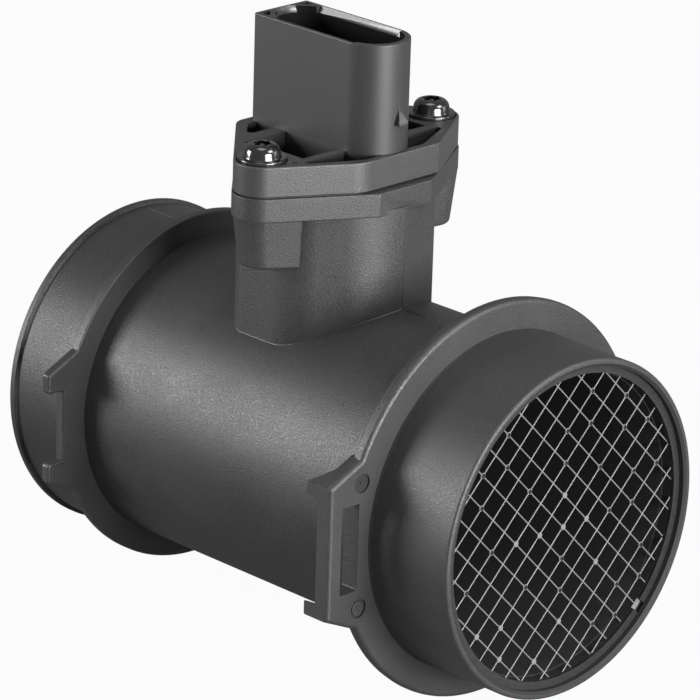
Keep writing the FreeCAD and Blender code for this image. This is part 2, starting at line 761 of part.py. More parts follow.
# Measuring column: a moulded half shell with the electronics chamber above the air duct
column = new_body("measuring_column")
slab(column, "block", "XY_Plane", [box_loop(
    -size.column_half, size.column_half, -size.column_front, size.column_back, size.column_rounding,
)], size.column_bottom, plug_bottom, shift=neck_shift)
yz_shift = (size.neck_place, 0)
slab(column, "chamber", "YZ_Plane", [box_loop(chamber_front, chamber_back, size.chamber_floor, chamber_top)],
     channel_wall_x, size.column_half, cut=True, shift=yz_shift)
slab(column, "duct", "YZ_Plane", [box_loop(
    -size.column_front, size.column_back, -size.duct_half, size.duct_half,
)], channel_wall_x, size.column_half, cut=True, shift=yz_shift)
slab(column, "element_slot", "YZ_Plane", [box_loop(
    size.element_slot_y, size.element_slot_y + size.element_slot_width, size.duct_half, size.chamber_floor,
)], channel_wall_x, plate_face_x, cut=True, shift=yz_shift)
slab(column, "blade_slots", "XY_Plane",
     [blade_loop(number, size.blade_slot_clearance) for number in blade_numbers],
     chamber_top, plug_bottom, cut=True, shift=neck_shift)


def side_plate(label, y_low, y_high, z_low, z_high, x_low, x_high):
    """A flat rectangular piece that lies in the plane of the air stream."""
    plate = new_body(label)
    slab(plate, "plate", "YZ_Plane", [box_loop(y_low, y_high, z_low, z_high)], x_low, x_high, shift=yz_shift)


lid_face = size.column_half + size.lid_thickness
lid_front = size.column_rounding - size.column_front
lid_back = size.column_back - size.column_rounding
side_plate("duct_lid", lid_front, lid_back, size.column_bottom, size.lid_split, size.column_half, lid_face)
side_plate("chamber_lid", lid_front, lid_back, size.lid_split + size.lid_gap, plug_bottom,
           size.column_half, lid_face)
plate_bottom = size.chamber_floor + size.plate_clearance
side_plate("carrier_plate", chamber_front + size.plate_clearance, chamber_back - size.plate_clearance,
           plate_bottom, chamber_top - size.plate_clearance, channel_wall_x, plate_face_x)
side_plate("circuit_board", chamber_front + size.board_inset, chamber_back - size.board_inset,
           plate_bottom + size.board_inset, chamber_top - size.plate_clearance, plate_face_x, board_face_x)
side_plate("signal_chip", size.chip_y, size.chip_y + size.chip_side,
           size.chip_z, size.chip_z + size.chip_side, board_face_x, board_face_x + size.chip_height)
side_plate("heater_driver", size.driver_y, size.driver_y + size.driver_side,
           size.driver_z, size.driver_z + size.driver_side, board_face_x, board_face_x + size.driver_height)
for number in range(int(SIZES["capacitor_count"])):
    start = chamber_front + size.board_inset * 2 + number * size.capacitor_pitch
    side_plate(f"capacitor_{number + 1}", start, start + size.capacitor_length,
               size.capacitor_z, size.capacitor_z + size.capacitor_width,
               board_face_x, board_face_x + size.capacitor_height)
element_start = size.element_slot_y + (size.element_slot_width - size.element_width) / 2
side_plate("hot_film_element", element_start, element_start + size.element_width,
           size.element_bottom, plate_bottom, channel_wall_x, channel_wall_x + size.element_thickness)
bead = new_body("air_temperature_bead")
slab(bead, "rod", "XY_Plane", [(0, size.bead_sensor_y, size.bead_sensor_radius)],
     size.duct_half - size.bead_sensor_length, size.duct_half, shift=neck_shift)

document.recompute()

for item in document.Objects:
    if "Invalid" in item.State or "Error" in item.State:
        raise RuntimeError(f"{item.Name} failed: {item.State}")
    if item.TypeId in ("PartDesign::Pocket", "PartDesign::Groove"):
        if item.Shape.Volume >= item.BaseFeature.Shape.Volume:
            raise RuntimeError(f"{item.Name} cuts nothing")

os.makedirs("parts", exist_ok=True)
for piece in pieces:
    shape = piece.Shape
    if shape.isNull() or not shape.isValid():
        raise RuntimeError(f"{piece.Label} has no valid shape")
    shape.exportStep(f"parts/{piece.Label}.step")
    print(f"{piece.Label}: {len(shape.Solids)} solid, {shape.Volume:.1f} mm3")
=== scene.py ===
# %% [markdown]
# # A mass airflow sensor in black moulded plastic
#
# The real object is a flow tube with a flange at each end, a screen in its inlet, a neck on top and a
# screwed sensor cover that ends in an upright connector. Almost all of it is one colour, so the picture
# lives on shape: rounded mould edges that catch the light, a fine grain on some faces and a satin
# finish on others. The lesson builds each piece as a closed solid, joins the solids as a toolmaker
# would, and gives every finish its own grain.

import math

import bmesh
import bpy
from mathutils import Matrix, Vector


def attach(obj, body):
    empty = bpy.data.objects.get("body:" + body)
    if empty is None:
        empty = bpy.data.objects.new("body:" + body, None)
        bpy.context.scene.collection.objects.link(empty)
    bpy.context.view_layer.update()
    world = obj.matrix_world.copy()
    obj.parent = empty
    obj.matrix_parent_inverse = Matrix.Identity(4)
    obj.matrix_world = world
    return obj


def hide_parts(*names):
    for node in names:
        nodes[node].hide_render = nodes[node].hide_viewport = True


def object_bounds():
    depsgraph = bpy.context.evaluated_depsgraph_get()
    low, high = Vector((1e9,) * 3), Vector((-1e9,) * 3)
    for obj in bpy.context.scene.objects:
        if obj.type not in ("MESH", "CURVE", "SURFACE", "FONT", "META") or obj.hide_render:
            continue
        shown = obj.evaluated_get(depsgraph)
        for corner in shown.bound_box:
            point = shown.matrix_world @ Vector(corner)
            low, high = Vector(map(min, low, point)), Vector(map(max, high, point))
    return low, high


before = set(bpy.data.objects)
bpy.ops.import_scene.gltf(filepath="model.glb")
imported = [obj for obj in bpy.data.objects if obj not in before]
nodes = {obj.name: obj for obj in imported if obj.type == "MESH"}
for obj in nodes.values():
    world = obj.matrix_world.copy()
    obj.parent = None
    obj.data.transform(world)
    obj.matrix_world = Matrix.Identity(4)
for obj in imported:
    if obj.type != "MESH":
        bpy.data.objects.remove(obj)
cad_low, cad_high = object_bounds()
print("The frame holds", len(nodes), "pieces")

# %% [markdown]
# ## Units and the places that everything hangs on
#
# Blender works in metres here, but moulded parts are drawn in millimetres, so every shape below is
# written in millimetres and scaled once, when its mesh is made. The origin lies on the tube's axis in
# the front face of the inlet flange. The air flows along +Y and the connector points up.

# %% Units and shared places
MM = 0.001
NECK_Y = 44.07
FLOOR_Z = cad_low.z / MM
INLET_END = -21.15
OUTLET_FRONT = 85.72
OUTLET_BACK = 87.94
OUTLET_END = 106.5
TUBE_RADIUS = 32.8
BORE_RADIUS = 30.2
NECK_TOP = 53.5
JOINT_TOP = 58.4
COVER_BOTTOM = 58.6
COVER_TOP = 64.9
SCREW_X = 23.76
print("The lowest point lies at", round(FLOOR_Z, 2), "mm")

# %% [markdown]
# ## The camera
#
# The picture was taken with a long lens from the front left and a little above, which keeps the two
# flanges nearly the same size. A direction is easier to read than three rotation angles, so the camera
# gets its place, the way that it looks, and the small roll that the picture has.

# %% Camera
CAMERA_PLACE = Vector((-625.2, -580.52, 342.06)) * MM
CAMERA_AZIMUTH = math.radians(45.14)
CAMERA_TILT = math.radians(20.06)
CAMERA_ROLL = math.radians(1.78)
CAMERA_LENS = 237.53
forward = Vector((
    math.sin(CAMERA_AZIMUTH) * math.cos(CAMERA_TILT),
    math.cos(CAMERA_AZIMUTH) * math.cos(CAMERA_TILT),
    -math.sin(CAMERA_TILT),
))
level_right = forward.cross(Vector((0, 0, 1))).normalized()
level_up = level_right.cross(forward)
right = level_right * math.cos(CAMERA_ROLL) + level_up * math.sin(CAMERA_ROLL)
up = level_up * math.cos(CAMERA_ROLL) - level_right * math.sin(CAMERA_ROLL)
camera_data = bpy.data.cameras.new("camera")
camera_data.lens = CAMERA_LENS
camera_data.sensor_width = 36
camera_data.clip_start = 0.05
camera_data.clip_end = 20
camera = bpy.data.objects.new("camera", camera_data)
camera.matrix_world = Matrix.Translation(CAMERA_PLACE) @ Matrix((right, up, -forward)).transposed().to_4x4()
bpy.context.scene.collection.objects.link(camera)
bpy.context.scene.camera = camera
print("The camera stands", round(CAMERA_PLACE.length, 3), "m away")

# %% [markdown]
# ## Soft studio light
#
# Black plastic has hardly any colour of its own, so what the eye reads is the reflection of the lamps.
# Small lamps would leave hot dots, and large panels draw broad soft bands and a thin line on every
# rounded edge. The strongest one stands in front of the inlet and draws the band along the tube. One at
# the far left lights the outlet, one high on the right the top faces, and two weak ones fill the rest.
# Their places come from the bands in the picture: each lamp was rendered alone, and the mix of all was
# chosen to match.

# %% Lamps
AIM = Vector((0, 40, 10)) * MM


def panel(name, place, width, height, power):
    """A rectangular lamp that looks at the object."""
    data = bpy.data.lights.new(name, "AREA")
    data.shape = "RECTANGLE"
    data.size = width
    data.size_y = height
    data.energy = power
    lamp = bpy.data.objects.new(name, data)
    lamp.location = place
    lamp.rotation_mode = "QUATERNION"
    lamp.rotation_quaternion = (AIM - Vector(place)).to_track_quat("-Z", "Y")
    bpy.context.scene.collection.objects.link(lamp)
    return lamp


lamps = [
    panel("lamp_left", (-0.84, 0.85, 0.3), 0.48, 0.45, 13.5),
    panel("lamp_front", (-0.11, -1.15, 0.16), 0.7, 0.35, 28.5),
    panel("lamp_high", (0.31, -0.82, 0.8), 0.5, 0.5, 9.0),
    panel("lamp_right", (0.83, -0.79, 0.28), 0.4, 0.4, 1.5),
    panel("lamp_top", (-0.1, 0.04, 1.23), 0.6, 0.6, 3.2),
]
print("Lamps:", len(lamps))

# %% [markdown]
# ## A white room
#
# The background of the picture is plain white. The world is white only for the rays that look at it
# from the camera. A reflection sees a share of that white, and for plain light the room only glows a
# little, so that the white doesn't wash out the black plastic. Light Path tells those rays apart, and a
# small helper makes one mixing value of them.

# %% White world
bpy.context.scene.view_settings.view_transform = "Standard"
world = bpy.data.worlds.new("white_room")
bpy.context.scene.world = world
world.use_nodes = True
tree = world.node_tree
tree.nodes.clear()


def seen_rays(tree, mirrored_share):
    """A value of one for rays from the camera or through glass, and a share of it for reflections."""
    rays = tree.nodes.new("ShaderNodeLightPath")
    dimmed = tree.nodes.new("ShaderNodeMath")
    dimmed.operation = "MULTIPLY"
    dimmed.inputs[1].default_value = mirrored_share
    tree.links.new(rays.outputs["Is Glossy Ray"], dimmed.inputs[0])
    total = dimmed.outputs[0]
    for name in ("Is Camera Ray", "Is Transmission Ray"):
        larger = tree.nodes.new("ShaderNodeMath")
        larger.operation = "MAXIMUM"
        tree.links.new(total, larger.inputs[0])
        tree.links.new(rays.outputs[name], larger.inputs[1])
        total = larger.outputs[0]
    return total


ROOM_GLOW = 0.13
ROOM_MIRRORED = 0.225
ROOM_WHITE = 0.975
room_glow = tree.nodes.new("ShaderNodeBackground")
room_glow.inputs["Color"].default_value = (0.75, 0.76, 0.78, 1)
room_glow.inputs["Strength"].default_value = ROOM_GLOW
room_white = tree.nodes.new("ShaderNodeBackground")
room_white.inputs["Color"].default_value = (ROOM_WHITE, ROOM_WHITE, ROOM_WHITE, 1)
room_mix = tree.nodes.new("ShaderNodeMixShader")
room_out = tree.nodes.new("ShaderNodeOutputWorld")
tree.links.new(seen_rays(tree, ROOM_MIRRORED), room_mix.inputs["Fac"])
tree.links.new(room_glow.outputs[0], room_mix.inputs[1])
tree.links.new(room_white.outputs[0], room_mix.inputs[2])
tree.links.new(room_mix.outputs[0], room_out.inputs["Surface"])
print("The room glows at", ROOM_GLOW, "and shows", ROOM_MIRRORED, "of its white in reflections")

# %% [markdown]
# The floor would turn grey under these lamps, so most of what the camera sees of it is plain white. The
# rest is a matt surface that takes the object's shadow. The floor is stage: it isn't part of the
# product.

# %% White floor
FLOOR_HALF = 3.0
FLOOR_GLOW = 0.96
FLOOR_MIRRORED = 0.06
floor_corners = [(x * FLOOR_HALF, y * FLOOR_HALF, FLOOR_Z * MM)
                 for x, y in ((-1, -1), (1, -1), (1, 1), (-1, 1))]
floor_mesh = bpy.data.meshes.new("floor")
floor_mesh.from_pydata(floor_corners, [], [(0, 1, 2, 3)])
floor = bpy.data.objects.new("floor", floor_mesh)
bpy.context.scene.collection.objects.link(floor)
floor_paint = bpy.data.materials.new("floor_white")
floor_paint.use_nodes = True
tree = floor_paint.node_tree
tree.nodes.clear()
floor_matt = tree.nodes.new("ShaderNodeBsdfDiffuse")
floor_matt.inputs["Color"].default_value = (0.22, 0.22, 0.22, 1)
floor_light = tree.nodes.new("ShaderNodeEmission")
floor_light.inputs["Color"].default_value = (1, 1, 1, 1)
floor_share = tree.nodes.new("ShaderNodeMath")
floor_share.operation = "MULTIPLY"
floor_share.inputs[1].default_value = FLOOR_GLOW
floor_mix = tree.nodes.new("ShaderNodeMixShader")
floor_out = tree.nodes.new("ShaderNodeOutputMaterial")
tree.links.new(seen_rays(tree, FLOOR_MIRRORED), floor_share.inputs[0])
tree.links.new(floor_share.outputs[0], floor_mix.inputs["Fac"])
tree.links.new(floor_matt.outputs[0], floor_mix.inputs[1])
tree.links.new(floor_light.outputs[0], floor_mix.inputs[2])
tree.links.new(floor_mix.outputs[0], floor_out.inputs["Surface"])
floor.data.materials.append(floor_paint)
print("The floor is", FLOOR_HALF * 2, "m wide")

# %% [markdown]
# ## One grain for every moulded face
#
# Injection moulds are spark eroded, which leaves a fine, even grain on the plastic. Several finishes
# below need it at their own scale and depth, so it is a node group with named sockets, built once. It
# puts out a height for a bump, a shade that darkens the pits, and a gloss that varies with it. A broad
# noise is mixed in at a fifth, because no moulded face is quite even.

# %% Helpers for groups


def new_group(name, inputs, outputs):
    """An empty shader group with float sockets, each input with its usual value."""
    group = bpy.data.node_groups.new(name, "ShaderNodeTree")
    for label, value in inputs.items():
        socket = group.interface.new_socket(name=label, in_out="INPUT", socket_type="NodeSocketFloat")
        socket.default_value = value
    for label in outputs:
        group.interface.new_socket(name=label, in_out="OUTPUT", socket_type="NodeSocketFloat")
    return group, group.nodes.new("NodeGroupInput"), group.nodes.new("NodeGroupOutput")


def noise(tree, coordinates, scale, detail):
    """A noise texture on the given coordinates; scale is a number or a socket."""
    texture = tree.nodes.new("ShaderNodeTexNoise")
    texture.inputs["Detail"].default_value = detail
    tree.links.new(coordinates, texture.inputs["Vector"])
    if isinstance(scale, (int, float)):
        texture.inputs["Scale"].default_value = scale
    else:
        tree.links.new(scale, texture.inputs["Scale"])
    return texture.outputs["Fac"]


def ranged(tree, value, low, high):
    """Stretch the middle part of a value from nothing to one onto low to high."""
    stretch = tree.nodes.new("ShaderNodeMapRange")
    tree.links.new(value, stretch.inputs["Value"])
    stretch.inputs["From Min"].default_value = 0.36
    stretch.inputs["From Max"].default_value = 0.64
    for name, limit in (("To Min", low), ("To Max", high)):
        if isinstance(limit, (int, float)):
            stretch.inputs[name].default_value = limit
        else:
            tree.links.new(limit, stretch.inputs[name])
    return stretch.outputs["Result"]


print("Group helpers are ready")

# %% Grain group
BROAD_SHARE = 0.2
grain, grain_in, grain_out = new_group(
    "mould_grain",
    {"Grains per metre": 2600.0, "Gloss low": 0.4, "Gloss high": 0.6, "Shade low": 0.8},
    ("Height", "Gloss", "Shade"),
)
grain_place = grain.nodes.new("ShaderNodeTexCoord").outputs["Object"]
fine = noise(grain, grain_place, grain_in.outputs["Grains per metre"], 1.0)
broad = noise(grain, grain_place, 55.0, 3.0)
blend = grain.nodes.new("ShaderNodeMix")
blend.inputs["Factor"].default_value = BROAD_SHARE
grain.links.new(fine, blend.inputs["A"])
grain.links.new(broad, blend.inputs["B"])
grain.links.new(fine, grain_out.inputs["Height"])
gloss = ranged(grain, blend.outputs["Result"], grain_in.outputs["Gloss low"], grain_in.outputs["Gloss high"])
shade = ranged(grain, blend.outputs["Result"], grain_in.outputs["Shade low"], 1.0)
grain.links.new(gloss, grain_out.inputs["Gloss"])
grain.links.new(shade, grain_out.inputs["Shade"])
print("The grain group has", len(grain.nodes), "nodes")

# %% [markdown]
# ## Finishes
#
# Each finish is the same shader with its own colour and its own grain. A wide range of gloss makes the
# grain sparkle, and a narrow one makes a satin face. The bump gives the relief, and its distance is the
# depth of the pits: a tenth of a millimetre for grained faces and less for the others.

# %% A finish


def finish(name, colour, grains, gloss, shade_low, bump, metallic=0.0, bump_distance=0.00004, sheen=0.5):
    """A material with grain in its colour, gloss and surface."""
    material = bpy.data.materials.new(name)
    material.use_nodes = True
    tree = material.node_tree
    shader = tree.nodes["Principled BSDF"]
    texture = tree.nodes.new("ShaderNodeGroup")
    texture.node_tree = grain
    texture.inputs["Grains per metre"].default_value = grains
    texture.inputs["Gloss low"].default_value = gloss[0]
    texture.inputs["Gloss high"].default_value = gloss[1]
    texture.inputs["Shade low"].default_value = shade_low
    tint = tree.nodes.new("ShaderNodeMix")
    tint.data_type = "RGBA"
    tint.inputs["A"].default_value = (0, 0, 0, 1)
    tint.inputs["B"].default_value = (*colour, 1)
    tree.links.new(texture.outputs["Shade"], tint.inputs["Factor"])
    tree.links.new(tint.outputs["Result"], shader.inputs["Base Color"])
    tree.links.new(texture.outputs["Gloss"], shader.inputs["Roughness"])
    shader.inputs["Metallic"].default_value = metallic
    shader.inputs["Specular IOR Level"].default_value = sheen
    relief = tree.nodes.new("ShaderNodeBump")
    relief.inputs["Strength"].default_value = bump
    relief.inputs["Distance"].default_value = bump_distance
    tree.links.new(texture.outputs["Height"], relief.inputs["Height"])
    tree.links.new(relief.outputs["Normal"], shader.inputs["Normal"])
    return material


print("A finish has gloss, shade and relief")

# %% [markdown]
# The housing has the deep grain of its mould. The sides of the cover have a finer one, the inlet spigot
# is satin and the shroud is smooth. Lead-in slopes and parting lines are polished. The insides of tube
# and shroud, the pockets and the floors of the pin marks get next to no light, so they get painted shade:
# a darker, duller copy of the plastic, and the socket a still darker one. The screen's grey is paler, a
# painted highlight on its webs. The screws are black and glossy, and the pieces inside are plain metal
# and ceramic.

# %% Plastic and metal finishes
grained = finish("grained_black_plastic", (0.033, 0.033, 0.0345), 4700, (0.32, 0.64), 0.35, 0.7,
                 bump_distance=0.0001, sheen=0.67)
fine_grained = finish("fine_grained_black_plastic", (0.037, 0.037, 0.0385), 4900, (0.36, 0.58), 0.5, 0.5,
                      bump_distance=0.0001, sheen=0.75)
satin = finish("satin_black_plastic", (0.031, 0.031, 0.0325), 4600, (0.4, 0.62), 0.5, 0.45,
               bump_distance=0.0001, sheen=0.64)
smooth = finish("smooth_black_plastic", (0.026, 0.026, 0.0275), 4200, (0.4, 0.48), 0.8, 0.2, sheen=0.58)
polished = finish("polished_black_plastic", (0.035, 0.035, 0.037), 3600, (0.3, 0.36), 0.9, 0.1, sheen=0.7)
# Painted shade: a darker, duller copy of the black plastic for recesses that little light reaches.
painted_shade = finish("painted_shade_plastic", (0.022, 0.022, 0.023), 3000, (0.6, 0.7), 0.8, 0.2, sheen=0.25)
# Painted shade: the socket inside the shroud, painted nearly black.
painted_socket_shade = finish("painted_shade_socket_plastic", (0.007, 0.007, 0.0075), 3000, (0.65, 0.75), 0.8, 0.2, sheen=0.08)
# Painted highlight: a paler grey, so that the webs of the screen read bright.
painted_highlight_grey = finish("grey_plastic_painted_highlight", (0.17, 0.17, 0.175), 3000, (0.34, 0.46), 0.85, 0.1)
gloss_black = finish("gloss_black_steel", (0.008, 0.008, 0.009), 1500, (0.12, 0.18), 0.8, 0.05, sheen=1.0)
dark_steel = finish("dark_spring_steel", (0.07, 0.07, 0.07), 1800, (0.52, 0.58), 0.92, 0.05, metallic=1.0)
rubber = finish("black_rubber", (0.02, 0.02, 0.02), 1800, (0.6, 0.8), 0.8, 0.4)
tinned = finish("tinned_blade", (0.7, 0.69, 0.66), 2500, (0.22, 0.34), 0.85, 0.15, metallic=1.0)
milled = finish("milled_plate", (0.75, 0.76, 0.77), 2200, (0.3, 0.42), 0.9, 0.2, metallic=1.0)
ceramic = finish("white_ceramic", (0.75, 0.74, 0.7), 2600, (0.4, 0.55), 0.92, 0.2)
package = finish("chip_package", (0.02, 0.02, 0.02), 3000, (0.45, 0.6), 0.8, 0.3)
tan_body = finish("capacitor_tan", (0.45, 0.33, 0.2), 2600, (0.4, 0.55), 0.85, 0.2)
print("Finishes:", len(bpy.data.materials) - 1)

# %% [markdown]
# ## Outlines like a belt round pegs
#
# Seen from above, the neck, the screw flange and the cover are all arcs joined by straight flanks, as
# if a belt ran round a few pegs. Three numbers a peg hold the whole outline: its place and its radius.
# Drawing the belt in by a small inset is only a matter of thinner pegs, and that inset is what rounds a
# mould edge later.

# %% Belt outlines
ARC_STEP = 5.0


def flank_angle(here, there):
    """Angle of the outward normal of the straight flank between two pegs, in degrees."""
    run = Vector((there[0] - here[0], there[1] - here[1]))
    lean = math.degrees(math.asin((here[2] - there[2]) / run.length))
    return math.degrees(math.atan2(run.y, run.x)) - 90 + lean


def belt(pegs, inset=0.0, step=ARC_STEP):
    """Points round pegs (x, y, radius), anticlockwise, drawn in by inset."""
    points = []
    for number, (x, y, radius) in enumerate(pegs):
        first = flank_angle(pegs[number - 1], pegs[number])
        last = flank_angle(pegs[number], pegs[(number + 1) % len(pegs)])
        sweep = (last - first) % 360
        parts = max(1, math.ceil(sweep / step))
        for part in range(parts + 1):
            angle = math.radians(first + sweep * part / parts)
            points.append((x + (radius - inset) * math.cos(angle), y + (radius - inset) * math.sin(angle)))
    return points


def disc(x, y, radius):
    """A round outline: a belt needs two pegs, so they stand a hair apart."""
    return [(x - 0.01, y, radius), (x + 0.01, y, radius)]


def mirrored(pegs):
    """The same outline on the other side of the middle plane."""
    return [(-x, y, radius) for x, y, radius in reversed(pegs)]


print("A disc has", len(belt(disc(0, 0, 5))), "points")

# %% [markdown]
# ## Solids skinned through rows
#
# A moulded block, a tapered boss and a turned tube have one thing in common: they are rings of points,
# one behind the other, closed by a flat face at each end. One helper skins such rows. A block is the
# simplest use of it: its first and last rows are drawn in along a quarter circle, which rounds its
# edges in the mesh itself, so no bevel has to find them later.

# %% Skinning helpers
EDGE_STEPS = 4


def add_piece(name, shape):
    """Make a piece of a worked-out shape, with all its faces looking out."""
    bmesh.ops.recalc_face_normals(shape, faces=shape.faces)
    mesh = bpy.data.meshes.new(name)
    shape.to_mesh(mesh)
    shape.free()
    piece = bpy.data.objects.new(name, mesh)
    bpy.context.scene.collection.objects.link(piece)
    return piece


def skin(name, rows):
    """A closed solid through rows of equally many points, in millimetres."""
    shape = bmesh.new()
    rings = [[shape.verts.new(Vector(point) * MM) for point in row] for row in rows]
    for lower, upper in zip(rings, rings[1:]):
        for number in range(len(lower)):
            after = (number + 1) % len(lower)
            shape.faces.new((lower[number], lower[after], upper[after], upper[number]))
    shape.faces.new(list(reversed(rings[0])))
    shape.faces.new(rings[-1])
    bmesh.ops.remove_doubles(shape, verts=shape.verts, dist=1e-7)
    return add_piece(name, shape)


def over_neck(x, y, z):
    """A point given from the neck's middle."""
    return (x, y + NECK_Y, z)


def edge_rows(low, high, edge):
    """Pairs of inset and height for a block with rounded edges."""
    pairs = []
    for step in range(EDGE_STEPS + 1):
        angle = math.pi / 2 * step / EDGE_STEPS
        pairs.append((edge * (1 - math.sin(angle)), low + edge * (1 - math.cos(angle))))
    for step in range(EDGE_STEPS + 1):
        angle = math.pi / 2 * step / EDGE_STEPS
        pairs.append((edge * (1 - math.cos(angle)), high - edge * (1 - math.sin(angle))))
    return pairs


def block(name, pegs, low, high, edge, place=over_neck, step=ARC_STEP):
    """A belt outline pulled from low to high with rounded edges."""
    rows = []
    for inset, height in edge_rows(low, high, edge):
        rows.append([place(x, y, height) for x, y in belt(pegs, inset, step)])
    return skin(name, rows)


print("A block with round edges has", len(edge_rows(0, 1, 0.1)), "rows")

# %% [markdown]
# ## Turned profiles
#
# A turned piece uses circles as its rows, one for each point of its profile. The profile is written as
# its sharp corners, and each corner may have a rounding, as on a drawing.

# %% Turning helpers
ROUND_PARTS = 240


def turned(name, profile):
    """A piece turned about the tube's axis, from pairs of place along it and radius."""
    angles = [math.tau * part / ROUND_PARTS for part in range(ROUND_PARTS)]
    rows = []
    for along, radius in profile:
        rows.append([(radius * math.cos(angle), along, radius * math.sin(angle)) for angle in angles])
    return skin(name, rows)


def softened(corners, steps=4):
    """Round the corners of a profile: each is (along, radius) or (along, radius, rounding)."""
    points = []
    for number, corner in enumerate(corners):
        here = Vector(corner[:2])
        if len(corner) == 2:
            points.append(tuple(here))
            continue
        before = (Vector(corners[number - 1][:2]) - here).normalized()
        after = (Vector(corners[number + 1][:2]) - here).normalized()
        half = before.angle(after) / 2
        start = here + before * corner[2] / math.tan(half)
        end = here + after * corner[2] / math.tan(half)
        middle = here + (before + after).normalized() * corner[2] / math.sin(half)
        first = start - middle
        turn = first.angle_signed(end - middle)
        for part in range(steps + 1):
            angle = -turn * part / steps
            spoke = Vector((
                first.x * math.cos(angle) - first.y * math.sin(angle),
                first.x * math.sin(angle) + first.y * math.cos(angle),
            ))
            points.append(tuple(middle + spoke))
    return points


print("A turned piece has", ROUND_PARTS, "parts round")

# %% [markdown]
# ## The barrel of the housing
#
# Tube, spigots and flanges share one axis, so they are one turned profile. The corners that the hand
# touches are rounded in the profile. The inlet flange has a faint step on its edge, where the two
# halves of the mould met, and the outlet spigot ends in a bead that keeps the hose clamp on.

# %% Barrel
barrel_profile = softened([
    (INLET_END, 10.0),
    (INLET_END, 35.0, 0.65),
    (-0.9, 35.0),
    (0.0, 35.25),
    (0.0, 41.35, 0.95),
    (1.6, 41.35),
    (1.7, 41.2),
    (2.85, 41.2, 0.35),
    (2.85, TUBE_RADIUS),
    (OUTLET_FRONT, TUBE_RADIUS),
    (OUTLET_FRONT, 37.93, 0.3),
    (OUTLET_BACK, 37.93, 0.3),
    (OUTLET_BACK, 34.8),
    (88.2, 34.6),
    (104.6, 34.6),
    (104.9, 35.33, 0.25),
    (OUTLET_END, 35.33, 0.5),
    (OUTLET_END, 10.0),
])
housing = turned("housing_moulding", barrel_profile)
print("The barrel has", len(housing.data.polygons), "faces")

# %% [markdown]
# ## The neck
#
# The neck has a large round on its left, a crease in the middle of its front and one flat facet right
# of it. It grows out of the tube with a small fillet. A fillet on a round tube has no fixed height, so
# each point of the outline finds the tube's surface under it, and the rows step up and in from there
# along a quarter circle. A thin raised line runs up the crease, where the mould parts. The manifold
# solver joins the solids: it is quick, and it leaves closed meshes.

# %% Joining solids


def combine(target, tool, operation="UNION"):
    """Join a solid to the target or cut it away, and clear the tool."""
    change = target.modifiers.new(operation, "BOOLEAN")
    change.operation = operation
    change.object = tool
    change.solver = "MANIFOLD"
    bpy.context.view_layer.update()
    graph = bpy.context.evaluated_depsgraph_get()
    mesh = bpy.data.meshes.new_from_object(target.evaluated_get(graph))
    target.modifiers.clear()
    target.data = mesh
    bpy.data.objects.remove(tool)


print("Solids join and cut with the manifold solver")

# %% Neck
neck_pegs = [
    (-1.5, -1.1, 15.9),
    (0.0, -16.9, 0.1),
    (12.3, -11.4, 1.2),
    (18.5, -2.7, 2.0),
    (15.5, 8.3, 5.0),
    (8.8, 15.0, 5.0),
    (-8.8, 15.0, 5.0),
    (-15.5, 8.3, 5.0),
    (-8.5, 0.0, 12.0),
]
NECK_FILLET = 0.22
NECK_BOTTOM = 12.0


def tube_height(x):
    """Height of the tube's surface at x."""
    return math.sqrt(TUBE_RADIUS**2 - x**2)


neck_rows = [[over_neck(x, y, NECK_BOTTOM) for x, y in belt(neck_pegs, -NECK_FILLET)]]
for step in range(EDGE_STEPS + 2):
    angle = math.pi / 2 * step / (EDGE_STEPS + 1)
    spread = NECK_FILLET * (1 - math.sin(angle))
    rise = NECK_FILLET * (1 - math.cos(angle)) - 0.05
    neck_rows.append([over_neck(x, y, tube_height(x) + rise) for x, y in belt(neck_pegs, -spread)])
neck_rows.append([over_neck(x, y, NECK_TOP + 1.0) for x, y in belt(neck_pegs)])
combine(housing, skin("neck", neck_rows))
crease_pegs = [(-0.09, -17.02, 0.07), (0.09, -17.02, 0.07), (0.09, -16.0, 0.07), (-0.09, -16.0, 0.07)]
combine(housing, block("crease", crease_pegs, TUBE_RADIUS - 2.0, NECK_TOP + 0.5, 0.0))
print("The neck rises to", NECK_TOP, "mm")

# %% [markdown]
# ## Screw flange and bosses
#
# The oblong flange carries the cover. Under each end of it hangs a boss that takes a screw. The boss
# follows the flange's tip, leans in a little so that it leaves the mould, and stops in a flat face
# beside the neck.

# %% Screw flange
joint_pegs = [
    (-SCREW_X, 0.0, 5.9),
    (-6.95, -16.2, 0.4),
    (7.4, -16.2, 0.4),
    (SCREW_X, 0.0, 5.9),
    (8.44, 18.0, 4.0),
    (-8.44, 18.0, 4.0),
]
combine(housing, block("joint", joint_pegs, NECK_TOP, JOINT_TOP, 0.25))
print("The screw flange is", round(JOINT_TOP - NECK_TOP, 1), "mm thick")

# %% Bosses
BOSS_BOTTOM = 43.2
left_boss = [
    (-SCREW_X, 0.0, 5.5),
    (-20.5, -8.0, 0.35),
    (-18.5, -2.0, 0.35),
    (-18.5, 2.0, 0.35),
    (-20.5, 8.0, 0.35),
]
right_boss = [(SCREW_X, 0.0, 5.8), (18.2, 4.8, 0.35), (18.2, -4.8, 0.35)]


def boss(pegs, middle, lean_x, lean_y, bottom):
    """A boss that hangs from the flange and gets narrower downwards, towards middle."""
    rows = []
    for inset, height in edge_rows(-NECK_TOP - 1.5, -bottom, 0.75):
        depth = (NECK_TOP + height) / (NECK_TOP - bottom)
        row = []
        for x, y in belt(pegs, inset):
            x = middle + (x - middle) / (1.0 + lean_x * depth)
            row.append(over_neck(x, y / (1.0 + lean_y * depth), -height))
        rows.append(row)
    return skin("boss", rows)


combine(housing, boss(left_boss, -19.5, 0.19, 0.08, BOSS_BOTTOM))
combine(housing, boss(right_boss, SCREW_X, 0.28, 0.28, BOSS_BOTTOM - 1.1))
print("The bosses end at", BOSS_BOTTOM, "mm")

